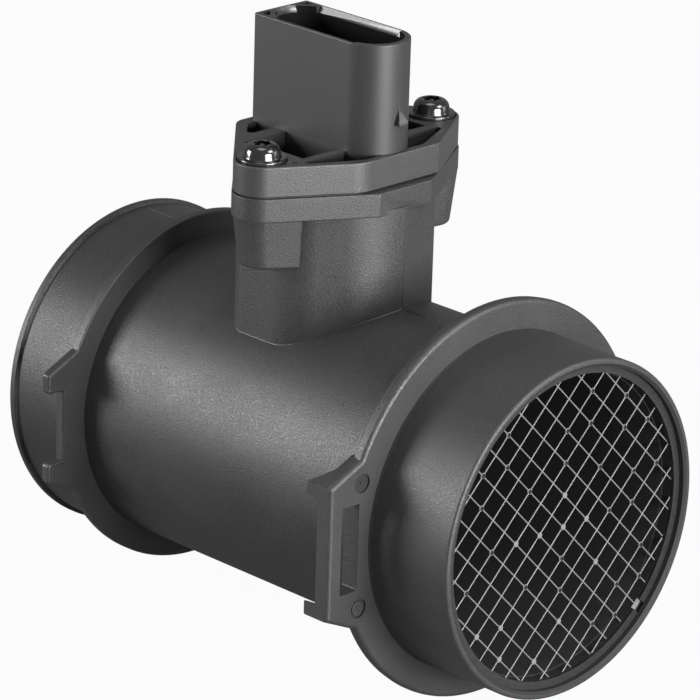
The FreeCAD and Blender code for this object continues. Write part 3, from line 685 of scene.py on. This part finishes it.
# %% [markdown]
# ## Lugs
#
# The inlet flange has a slotted lug on each side for a spring clip. Its outline runs tangent into the
# round flange, and two legs stiffen it behind. Their backs are hollow curves, so they are skinned
# through sections of their own. The lug is a block that lies along the tube, from an outline as seen
# from the inlet, and the second side is the mirror image of the first.

# %% Outlines seen from the inlet


def across(x, z, y):
    """A point of an outline that is seen from the inlet."""
    return (x, y, z)


def upside_down(pegs):
    """The same outline below the axis."""
    return [(x, -y, radius) for x, y, radius in reversed(pegs)]


def one_way_round(pegs):
    """Give the pegs in anticlockwise order."""
    pairs = zip(pegs, pegs[1:] + pegs[:1])
    turning = sum(a[0] * b[1] - b[0] * a[1] for a, b in pairs)
    return pegs if turning > 0 else list(reversed(pegs))


def both_sides(pegs):
    """The outline and its mirror image, both anticlockwise."""
    return one_way_round(pegs), one_way_round(mirrored(pegs))


print("A lug is drawn once and made", len(both_sides([(1, 0, 0.1), (2, 0, 0.1), (2, 1, 0.1)])), "times")

# %% Inlet lugs
LUG_FACE = 45.73
LUG_THICKNESS = 4.1
lug_pegs = [
    (-33.5, 16.9, 0.9),
    (-36.79, 16.9, 0.9),
    (-44.83, 13.23, 0.9),
    (-44.83, -13.23, 0.9),
    (-36.79, -16.9, 0.9),
    (-33.5, -16.9, 0.9),
]
LEG_START = 36.0
LEG_ROOT = 2.5
LEG_DEPTH = 6.9
LEG_THICKNESS = 3.0
LEG_STEPS = 10
SLOPE = 0.457
SLOPE_LOW = 13.95
SLOPE_HIGH = 17.75
slot_pegs = [(-42.3, 8.8, 0.3), (-42.3, -8.8, 0.3), (-38.26, -8.8, 0.3), (-38.26, 8.8, 0.3)]


def leg(side, end):
    """A stiffening leg under the sloping edge of a lug; it deepens along a hollow curve."""
    rows = []
    for step in range(LEG_STEPS + 1):
        share = step / LEG_STEPS
        x = LEG_START + (LUG_FACE - LEG_START) * share
        top = min(SLOPE_LOW + (LUG_FACE - x) * SLOPE, SLOPE_HIGH)
        back = LEG_ROOT + (LEG_DEPTH - LEG_ROOT) * share**2
        if step == LEG_STEPS:
            back -= 0.3
        bottom = top - LEG_THICKNESS
        section = ((1.0, bottom), (back - 0.25, bottom), (back, bottom + 0.25), (back, top - 0.25),
                   (back - 0.25, top), (1.0, top))
        rows.append([(side * x, y, end * z) for y, z in section])
    return skin("leg", rows)


for pegs in both_sides(lug_pegs):
    combine(housing, block("lug", pegs, 0.0, LUG_THICKNESS, 0.85, across))
for side in (-1, 1):
    for end in (-1, 1):
        combine(housing, leg(side, end))
for pegs in both_sides(slot_pegs):
    combine(housing, block("slot", pegs, -5.0, 12.0, 0.0, across), "DIFFERENCE")
print("Inlet lugs reach", LUG_FACE, "mm out")

# %% [markdown]
# The pins that push the housing out of its mould leave two round marks on each lug, a little sunk. The
# upper ones have a point in the middle and the lower ones a raised core, so only a ring shows there.

# %% Ejector marks
MARK_X = 37.35
MARK_Z = 13.1
for x in (-MARK_X, MARK_X):
    for z in (-MARK_Z, MARK_Z):
        mark = block("mark", disc(x, z, 2.0), -1.0, 0.45, 0.0, across, 12)
        combine(housing, mark, "DIFFERENCE")
        core_radius, core_top = (0.22, 0.1) if z > 0 else (1.5, 0.12)
        combine(housing, block("mark_core", disc(x, z, core_radius), core_top, 1.0, 0.08, across, 12))
print("Marks lie", MARK_X, "mm from the middle")

# %% [markdown]
# The outlet flange has smaller lugs: two horns on each side, with a seat for the clip between them.

# %% Outlet lugs
horn_pegs = [
    (-34.0, 15.2, 0.6),
    (-41.9, 11.4, 0.6),
    (-41.6, 8.5, 0.9),
    (-38.4, 8.15, 0.6),
    (-34.0, 7.4, 0.6),
]
seat_pegs = [(-34.0, 9.0, 0.4), (-38.2, 9.0, 0.4), (-38.2, -9.0, 0.4), (-34.0, -9.0, 0.4)]
for horn in (horn_pegs, upside_down(horn_pegs)):
    for pegs in both_sides(horn):
        combine(housing, block("horn", pegs, OUTLET_FRONT, OUTLET_BACK, 0.5, across))
for pegs in both_sides(seat_pegs):
    combine(housing, block("seat", pegs, OUTLET_FRONT, OUTLET_BACK, 0.3, across))
print("Outlet lugs are on")

# %% [markdown]
# ## Hollowing the housing
#
# The inside is cut last, because the neck and the flanges all reach into it. One turned solid takes out
# the mouth for the screen, the groove of its ring, the taper and the bore. A second cut opens the
# window in the neck through which the sensor column hangs.

# %% Bore and window
bore_profile = softened([
    (-22.5, 33.9),
    (INLET_END, 33.9),
    (-20.7, 33.3),
    (-19.6, 33.3),
    (-19.6, 33.7),
    (-18.85, 33.7),
    (-18.85, 33.2),
    (-16.6, 33.2),
    (-16.6, 31.4),
    (-4.6, BORE_RADIUS),
    (OUTLET_FRONT, BORE_RADIUS),
    (91.72, 32.0),
    (106.0, 32.0),
    (OUTLET_END, 32.5),
    (108.0, 32.5),
])
combine(housing, turned("bore", bore_profile), "DIFFERENCE")
window_pegs = [(-6.2, -8.0, 3.0), (6.2, -8.0, 3.0), (6.2, 13.6, 3.0), (-6.2, 13.6, 3.0)]
combine(housing, block("window", window_pegs, 10.0, 62.0, 0.0), "DIFFERENCE")
print("The bore is", 2 * BORE_RADIUS, "mm wide")

# %% [markdown]
# Where the mould halves met, a line as thin as a hair stands up from the tube in front of the neck, and
# another one from the outlet spigot.

# %% Parting lines
seam_pegs = [(-0.06, -41.0, 0.05), (0.06, -41.0, 0.05), (0.06, -16.0, 0.05), (-0.06, -16.0, 0.05)]
combine(housing, block("seam", seam_pegs, 31.0, TUBE_RADIUS + 0.09, 0.0))
back_seam_pegs = [(-0.06, 44.6, 0.05), (0.06, 44.6, 0.05), (0.06, 60.0, 0.05), (-0.06, 60.0, 0.05)]
combine(housing, block("back_seam", back_seam_pegs, 33.5, 34.67, 0.0))
print("The housing has", len(housing.data.polygons), "faces")

# %% [markdown]
# ## Finishing the housing
#
# A finished piece gets smooth shading with its hard edges kept, its material slot, and its place on the
# frame. A face then gets another finish where its middle lies in some part of the piece. That is plain
# and sturdy: a rule such as "in front of the flange" still holds when a size changes.

# %% Dressing helpers


def dress(piece, material, stands_for):
    """Finish a piece: smooth its rounded faces, keep its hard edges and fix it to the frame."""
    piece.data.materials.clear()
    piece.data.materials.append(material)
    piece.data.shade_smooth()
    piece.data.set_sharp_from_angle(angle=math.radians(32))
    weighted = piece.modifiers.new("even_faces", "WEIGHTED_NORMAL")
    weighted.keep_sharp = True
    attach(piece, "root")
    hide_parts(stands_for)


def part_finish(piece, material, chosen):
    """Give another finish to the faces whose middle, in millimetres, is chosen."""
    piece.data.materials.append(material)
    last = len(piece.data.materials) - 1
    for face in piece.data.polygons:
        corners = [piece.data.vertices[number].co / MM for number in face.vertices]
        spans = [[corner[axis] for corner in corners] for axis in range(3)]
        middle = Vector([(min(span) + max(span)) / 2 for span in spans])
        if chosen(middle, face.normal):
            face.material_index = last


print("Pieces can be dressed")

# %% Finishes of the housing


def smooth_face(middle, normal):
    """Faces that the mould leaves smooth: the inlet spigot and the facet of the neck."""
    if middle.y < -0.5:
        return True
    facet = middle.z > 33.0 and normal.z < 0.5 and normal.x > 0.25 and normal.y < -0.5
    return facet and middle.z < NECK_TOP


def bore_face(middle, normal):
    """Faces of the mouth and of the bore, but not the spigots' end faces round them."""
    radius = math.hypot(middle.x, middle.z)
    if middle.y < -4.0:
        return middle.y > -20.98 and radius < 34.2
    return middle.y < 106.4 and radius < 32.3


def seam_face(middle, normal):
    """The thin lines where the mould halves met."""
    raised = middle.z > TUBE_RADIUS + 0.06 or middle.y < NECK_Y - 17.0
    return abs(middle.x) < 0.2 and raised and middle.y > 2.9


def mark_face(middle, normal):
    """Floors of the round marks that the ejector pins left."""
    return 0.4 < middle.y < 0.5 and math.hypot(abs(middle.x) - MARK_X, abs(middle.z) - MARK_Z) < 2.1


dress(housing, grained, "housing")
part_finish(housing, satin, smooth_face)
# Painted shade: the mouth, the bore and the floors of the pin marks are painted darker, where little light
# reaches.
part_finish(housing, painted_shade, bore_face)
part_finish(housing, painted_shade, mark_face)
part_finish(housing, polished, seam_face)
print("The housing has", len(housing.data.materials), "finishes")

# %% [markdown]
# ## The inlet screen
#
# The screen is a lattice of thin webs turned by 45 degrees inside a round frame. A texture with holes
# would look flat from the side, so each web is a solid of its own, from rim to rim. Its front edge is
# rounded, which is what makes it catch the light. One family of webs lies a little deeper than the
# other, and all of them join the frame into one moulding.

# %% Frame of the screen
RING_BACK = -18.85
SCREEN_BACK = -16.6
OPENING_RADIUS = 31.64
screen_profile = [
    (RING_BACK, 33.05), (SCREEN_BACK, 33.05), (SCREEN_BACK, OPENING_RADIUS), (RING_BACK, OPENING_RADIUS),
]


def tube_ring(name, profile):
    """A ring turned about the tube's axis from a closed profile."""
    shape = bmesh.new()
    rings = []
    for part in range(ROUND_PARTS):
        angle = math.tau * part / ROUND_PARTS
        rings.append([shape.verts.new(Vector((r * math.cos(angle), y, r * math.sin(angle))) * MM)
                      for y, r in profile])
    for number, ring in enumerate(rings):
        after = rings[(number + 1) % ROUND_PARTS]
        for point in range(len(profile)):
            other = (point + 1) % len(profile)
            shape.faces.new((ring[point], ring[other], after[other], after[point]))
    return add_piece(name, shape)


screen = tube_ring("screen_moulding", screen_profile)
print("The frame of the screen has", len(screen.data.polygons), "faces")

# %% Webs
WEB_BACK = -18.58
PITCH = 4.75
WEB = 0.27
WEBS_EACH_SIDE = 6


def lattice_point(along, over, y):
    """A point of the lattice, given along its two diagonals."""
    half = math.sqrt(0.5)
    return (half * (along + over), y, half * (along - over))


def web(number, swap):
    """One web of the lattice, with rounded front edges, from rim to rim."""
    offset = number * PITCH
    reach = math.sqrt(max((OPENING_RADIUS + 0.6) ** 2 - offset**2, 1.0))
    front = RING_BACK + (0.0 if swap else 0.05)
    section = [
        (-WEB / 2, WEB_BACK), (-WEB / 2, front + 0.12), (-WEB / 4, front + 0.03), (0.0, front),
        (WEB / 4, front + 0.03), (WEB / 2, front + 0.12), (WEB / 2, WEB_BACK),
    ]
    rows = []
    for end in (-reach, reach):
        row = []
        for side, y in section:
            pair = (end, offset + side) if swap else (offset + side, end)
            row.append(lattice_point(*pair, y))
        rows.append(row)
    return skin("web", rows)


for number in range(-WEBS_EACH_SIDE, WEBS_EACH_SIDE + 1):
    for swap in (False, True):
        combine(screen, web(number, swap))
print("The screen has", len(screen.data.polygons), "faces")

# %% [markdown]
# Where ejector pins pushed the lattice out of its mould, the crossings carry small round pads. They sit
# on a pattern that repeats in all four quarters, with a few extra ones. Some stand a little proud and
# some are sunk, as pins never end quite flush.

# %% Ejector pads
PAD_RADIUS = 0.62
pads = set()
for across_steps, along_steps in ((1, 1), (2, 2), (3, 3), (1, 6), (6, 1), (5, 3)):
    for sign_a in (-1, 1):
        for sign_b in (-1, 1):
            pads.add((sign_a * across_steps, sign_b * along_steps))
for steps in (3, 5):
    pads |= {(steps, 0), (-steps, 0), (0, steps), (0, -steps)}
pads |= {(0, 0), (-2, -5), (-2, 5), (2, 5), (4, -2), (4, 2)}
proud = {(1, -1), (0, 0), (-1, -1), (-2, -2), (1, 1), (-3, 3), (0, 3), (-6, -1), (-5, 0), (-6, 1), (-5, 3)}
sunk_places = []
for along, over in sorted(pads):
    x, _, z = lattice_point(along * PITCH, over * PITCH, 0)
    if math.hypot(x, z) > OPENING_RADIUS:
        continue
    front = RING_BACK - (0.12 if (along, over) in proud else -0.02)
    combine(screen, block("pad", disc(x, z, PAD_RADIUS), front, WEB_BACK - 0.02, 0.1, across, 20))
    if (along, over) not in proud:
        sunk_places.append((x, z))
        dimple = block("dimple", disc(x, z, 0.4), RING_BACK - 1.0, RING_BACK + 0.2, 0.0, across, 20)
        combine(screen, dimple, "DIFFERENCE")
print("Pads:", len(pads))

# %% [markdown]
# Front light reaches the webs, but not the lattice's back or the dimples of the sunk pads. They get
# the painted shade of the bore, a darker, duller plastic.

# %% Finishes of the screen


def frame_wall(middle, normal):
    """The back of the lattice and the inner wall of its frame."""
    inward = middle.x * normal.x + middle.z * normal.z < 0
    return middle.y > -18.67 or (inward and math.hypot(middle.x, middle.z) > OPENING_RADIUS - 0.15)


def sunk_face(middle, normal):
    """The dimples of the sunken pads."""
    near = any(math.hypot(middle.x - x, middle.z - z) < 0.45 for x, z in sunk_places)
    return near and RING_BACK + 0.01 < middle.y < RING_BACK + 0.3


# The screen's paler grey is a painted highlight on its webs.
dress(screen, painted_highlight_grey, "inlet_screen")
# Painted shade: the lattice's back, the frame's inner wall and the dimples get the darker, duller plastic.
part_finish(screen, painted_shade, frame_wall)
part_finish(screen, painted_shade, sunk_face)
print("Sunk pads:", len(sunk_places))

# %% [markdown]
# ## The retaining ring
#
# A flat split ring springs into the groove in front of the screen. It is a ring like the screen's frame,
# less a small gap. The gap shows as a bright notch at the lower right of the mouth, because the frame of
# the screen lies behind it, with the paler grey of the screen's painted highlight.

# %% Retaining ring
RING_ANGLE = math.radians(-45)
GAP_HALF = 1.2
ring_profile = [(-19.6, 33.55), (-18.87, 33.55), (-18.87, OPENING_RADIUS), (-19.6, OPENING_RADIUS)]
ring = tube_ring("retaining_ring_band", ring_profile)
gap_rows = []
for y in (-21.0, -18.0):
    corners = []
    for radius, side in ((29.0, -GAP_HALF), (36.0, -GAP_HALF), (36.0, GAP_HALF), (29.0, GAP_HALF)):
        out = Vector((math.cos(RING_ANGLE), math.sin(RING_ANGLE)))
        spot = out * radius + Vector((-out.y, out.x)) * side
        corners.append((spot.x, y, spot.y))
    gap_rows.append(corners)
combine(ring, skin("gap", gap_rows), "DIFFERENCE")
dress(ring, dark_steel, "retaining_ring")
print("The ring is split at", round(math.degrees(RING_ANGLE)), "degrees")

# %% [markdown]
# ## The sensor cover
#
# The cover is one moulding too: an oblong plate, the plug under it and the tall connector shroud. The
# plate is hollowed from above between thin ribs, so that it doesn't sink as it cools. Under its edge it
# draws in a little, which leaves the dark line of the joint. All of it is blocks, joined or cut away.

# %% Cover plate
cover_pegs = [
    (-SCREW_X, 0.0, 5.7),
    (-7.73, -6.7, 8.0),
    (10.9, -13.2, 1.5),
    (SCREW_X, 0.0, 5.7),
    (8.44, 18.0, 4.0),
    (-8.44, 18.0, 4.0),
]
cover = block("cover_moulding", cover_pegs, COVER_BOTTOM, COVER_TOP, 0.3)
foot_pegs = [(x, y, radius - 0.7) for x, y, radius in cover_pegs]
combine(cover, block("foot", foot_pegs, JOINT_TOP, COVER_BOTTOM + 1.0, 0.0))
plug_pegs = [(x, y, radius - 0.25) for x, y, radius in window_pegs]
combine(cover, block("plug", plug_pegs, 54.4, JOINT_TOP + 0.5, 0.2))
POCKET_FLOOR = 60.4
OVER_PLATE = 70.0
front_pocket = [(0.0, -6.8, 0.3), (-17.6, -7.5, 1.0), (-7.4, -10.4, 2.8), (0.0, -12.9, 0.3)]
side_pocket = [(0.0, -4.5, 0.3), (0.0, 10.3, 0.3), (-18.6, 10.3, 0.3), (-16.9, 2.0, 0.3), (-16.9, -4.5, 0.3)]
back_pocket = [(0.0, 14.3, 0.5), (0.0, 18.5, 0.5), (-9.3, 18.2, 0.8), (-12.6, 14.8, 1.0)]
for pocket in (front_pocket, side_pocket, back_pocket):
    for pegs in both_sides(pocket):
        combine(cover, block("pocket", pegs, POCKET_FLOOR, OVER_PLATE, 0.2), "DIFFERENCE")
print("The plate is", round(COVER_TOP - COVER_BOTTOM, 1), "mm thick")

# %% [markdown]
# The shroud is round at the front and square at the back, and its mouth is a slot with two round ends.
# The plug is led in by sloping faces along both sides and round the back of the slot. Two triangular
# pockets lighten the square corners.

# %% Connector shroud
SHROUD_TOP = 87.4
SHROUD_FLOOR = 66.0
OVER_SHROUD = 90.0
SHROUD_FRONT_Y = -6.45
SLOT_BACK_Y = 13.05
SLOT_RADIUS = 6.1
shroud_pegs = [(0.0, SHROUD_FRONT_Y, 7.35), (6.75, 19.8, 0.6), (-6.75, 19.8, 0.6)]
combine(cover, block("shroud", shroud_pegs, COVER_BOTTOM + 0.5, SHROUD_TOP, 0.25))
cavity_pegs = [(0.0, SHROUD_FRONT_Y, SLOT_RADIUS), (0.0, SLOT_BACK_Y, SLOT_RADIUS)]
combine(cover, block("cavity", cavity_pegs, SHROUD_FLOOR, OVER_SHROUD, 0.2), "DIFFERENCE")
corner_pegs = [(6.1, 19.15, 0.3), (4.4, 19.15, 0.3), (6.1, 17.45, 0.3)]
for pegs in both_sides(corner_pegs):
    combine(cover, block("corner_pocket", pegs, 79.4, OVER_SHROUD, 0.0), "DIFFERENCE")
print("The shroud stands", SHROUD_TOP - COVER_TOP, "mm over the plate")

# %% Lead-in
LEAD_TOP = SHROUD_TOP + 0.05
LEAD_WIDTH = 6.75
LEAD_PARTS = 12
for side in (-1, 1):
    lead_rows = []
    for y in (-7.6, 15.6):
        corners = ((4.6, 86.1), (SLOT_RADIUS, 86.1), (LEAD_WIDTH, LEAD_TOP), (4.6, LEAD_TOP))
        lead_rows.append([over_neck(side * x, y, z) for x, z in corners])
    combine(cover, skin("lead_in", lead_rows), "DIFFERENCE")
lead_rows = []
for radius, z in ((6.09, 86.0), (LEAD_WIDTH, LEAD_TOP)):
    row = []
    for start, end, spoke in ((62, 118, radius), (118, 62, 5.0)):
        for part in range(LEAD_PARTS + 1):
            angle = math.radians(start + (end - start) * part / LEAD_PARTS)
            row.append(over_neck(spoke * math.cos(angle), SLOT_BACK_Y + spoke * math.sin(angle), z))
    lead_rows.append(row)
combine(cover, skin("lead_in_back", lead_rows), "DIFFERENCE")
print("The mouth is", 2 * LEAD_WIDTH, "mm wide at its top")

# %% [markdown]
# Round seats take the washer faces of the screws, with a hole through each for the shank. Two shallow
# round marks show where pins pushed the cover out of its mould.

# %% Screw seats and pin marks
SEAT_Z = 64.4
for x, y in ((-21.1, -5.8), (21.1, 5.8)):
    combine(cover, block("pin_mark", disc(x, y, 1.15), COVER_TOP - 0.12, OVER_PLATE, 0.0), "DIFFERENCE")
for x in (-SCREW_X, SCREW_X):
    combine(cover, block("seat", disc(x, 0.0, 5.15), SEAT_Z, OVER_PLATE, 0.0), "DIFFERENCE")
    combine(cover, block("hole", disc(x, 0.0, 2.25), 50.0, OVER_PLATE, 0.0), "DIFFERENCE")
print("The screws sit", round(COVER_TOP - SEAT_Z, 1), "mm deep in the plate")

# %% [markdown]
# The plug latches on a small wedge at the round end of the shroud. It has a flat lip below and thins out
# to a point at the top, so it is skinned through rows of its own.

# %% Latch nub
NUB_X = 0.3
NUB_HALF = 1.16
NUB_FRONT = -15.15
NUB_ROOT = -13.0
nub_rows = []
for height, half, front in ((70.7, NUB_HALF, NUB_FRONT), (71.4, NUB_HALF, NUB_FRONT), (73.9, 0.06, -13.75)):
    corners = ((-half, NUB_ROOT), (-half, front), (half, front), (half, NUB_ROOT))
    nub_rows.append([over_neck(NUB_X + x, y, height) for x, y in corners])
combine(cover, skin("nub", nub_rows))
print("The nub is", 2 * NUB_HALF, "mm wide")

# %% [markdown]
# ## Finishing the cover
#
# The shroud is smooth and the plate has a fine grain. Pockets and socket are hardly lit, so they get
# painted shade, and the lead-in and the front of the nub shine. Whether a face lies in a pocket or in the
# socket is asked of the belt outlines that made them: a face is inside where a line from its middle
# crosses the outline an odd number of times.

# %% Finishes of the cover


def inside(pegs, middle, inset):
    """True where a point lies within a belt outline that is drawn in by inset."""
    x, y = middle.x, middle.y - NECK_Y
    points = belt(pegs, inset)
    crossed = False
    for here, there in zip(points, points[1:] + points[:1]):
        if (here[1] > y) != (there[1] > y):
            crossed ^= x < here[0] + (there[0] - here[0]) * (y - here[1]) / (there[1] - here[1])
    return crossed


def cavity_face(middle, normal):
    """The inside of the shroud below its lead-in."""
    if not SHROUD_FLOOR - 0.1 < middle.z < 87.0:
        return False
    return inside(cavity_pegs, middle, -0.1) and (abs(normal.z) < 0.1 or middle.z < 70.0)


def pocket_face(middle, normal):
    """Walls and floors of the pockets."""
    return COVER_BOTTOM + 0.5 < middle.z < 64.2 and inside(cover_pegs, middle, 0.5)


def lead_in_face(middle, normal):
    """The sloping faces that lead the plug in, and the front of the latch nub."""
    if middle.z > 86.0:
        return 0.1 < normal.z < 0.8 and inside(shroud_pegs, middle, 0.5)
    return middle.y < NECK_Y - 13.85 and 70.0 < middle.z < 74.0 and normal.y < -0.5


def plate_face(middle, normal):
    """The plate with its rim."""
    return JOINT_TOP < middle.z < COVER_TOP + 0.1


dress(cover, smooth, "sensor_cover")
part_finish(cover, fine_grained, plate_face)
# Painted shade in the pockets of the plate.
part_finish(cover, painted_shade, pocket_face)
# Painted shade in the socket, nearly black.
part_finish(cover, painted_socket_shade, cavity_face)
part_finish(cover, polished, lead_in_face)
print("The cover has", len(cover.data.polygons), "faces")

# %% [markdown]
# ## Cover screws
#
# The screws are tamper-proof: a domed head on a pressed washer face, a six-lobed socket and a pin in
# the middle of it. The head is a turned profile that stands upright, and the socket is a cut whose
# radius swells six times on its way round.

# %% Screws
SOCKET_RADIUS = 1.75
LOBE = 0.26
SHANK_RADIUS = 2.0
SCREW_PARTS = 64
SOCKET_PARTS = 96
shank_profile = [(-16.5, 1.3), (-15.8, SHANK_RADIUS), (-0.01, SHANK_RADIUS)]
head_profile = softened([
    (0.0, 2.0),
    (0.0, 4.93, 0.2),
    (1.2, 4.93, 0.3),
    (1.2, 3.9, 0.15),
    (1.8, 3.78, 0.1),
    (3.85, 3.35, 1.7),
    (3.85, 0.4),
], 8)
for x, side in ((-SCREW_X, "left"), (SCREW_X, "right")):
    rows = []
    for height, radius in shank_profile + head_profile:
        row = []
        for part in range(SCREW_PARTS):
            angle = math.tau * part / SCREW_PARTS
            row.append(over_neck(x + radius * math.cos(angle), radius * math.sin(angle), SEAT_Z + height))
        rows.append(row)
    screw = skin(f"screw_{side}", rows)
    lobes = []
    for part in range(SOCKET_PARTS):
        angle = math.tau * part / SOCKET_PARTS
        radius = SOCKET_RADIUS + LOBE * math.cos(6 * angle)
        lobes.append((x + radius * math.cos(angle), radius * math.sin(angle)))
    socket_rows = [[over_neck(a, b, SEAT_Z + height) for a, b in lobes] for height in (2.2, 6.0)]
    combine(screw, skin("socket", socket_rows), "DIFFERENCE")
    combine(screw, block("pin", disc(x, 0.0, 0.5), SEAT_Z + 2.0, SEAT_Z + 3.6, 0.12, step=15))
    dress(screw, gloss_black, f"cover_screw_{side}")
print("Two screws are in")

# %% [markdown]
# ## What the frame already has right
#
# The seal, the blades and the parts inside are plain shapes that the frame models as they are. They
# keep their own meshes and get their finish by name.

# %% Finishes for the pieces inside
inner_finishes = {
    "cover_seal": rubber,
    "connector_blade": tinned,
    "measuring_column": satin,
    "duct_lid": satin,
    "chamber_lid": satin,
    "carrier_plate": milled,
    "circuit_board": ceramic,
    "signal_chip": package,
    "heater_driver": package,
    "capacitor": tan_body,
    "hot_film_element": ceramic,
    "air_temperature_bead": package,
}
for name, node in nodes.items():
    for start, material in inner_finishes.items():
        if name.startswith(start):
            node.data.materials.clear()
            node.data.materials.append(material)
print("Inner pieces with a finish:", sum(not node.hide_render for node in nodes.values()))
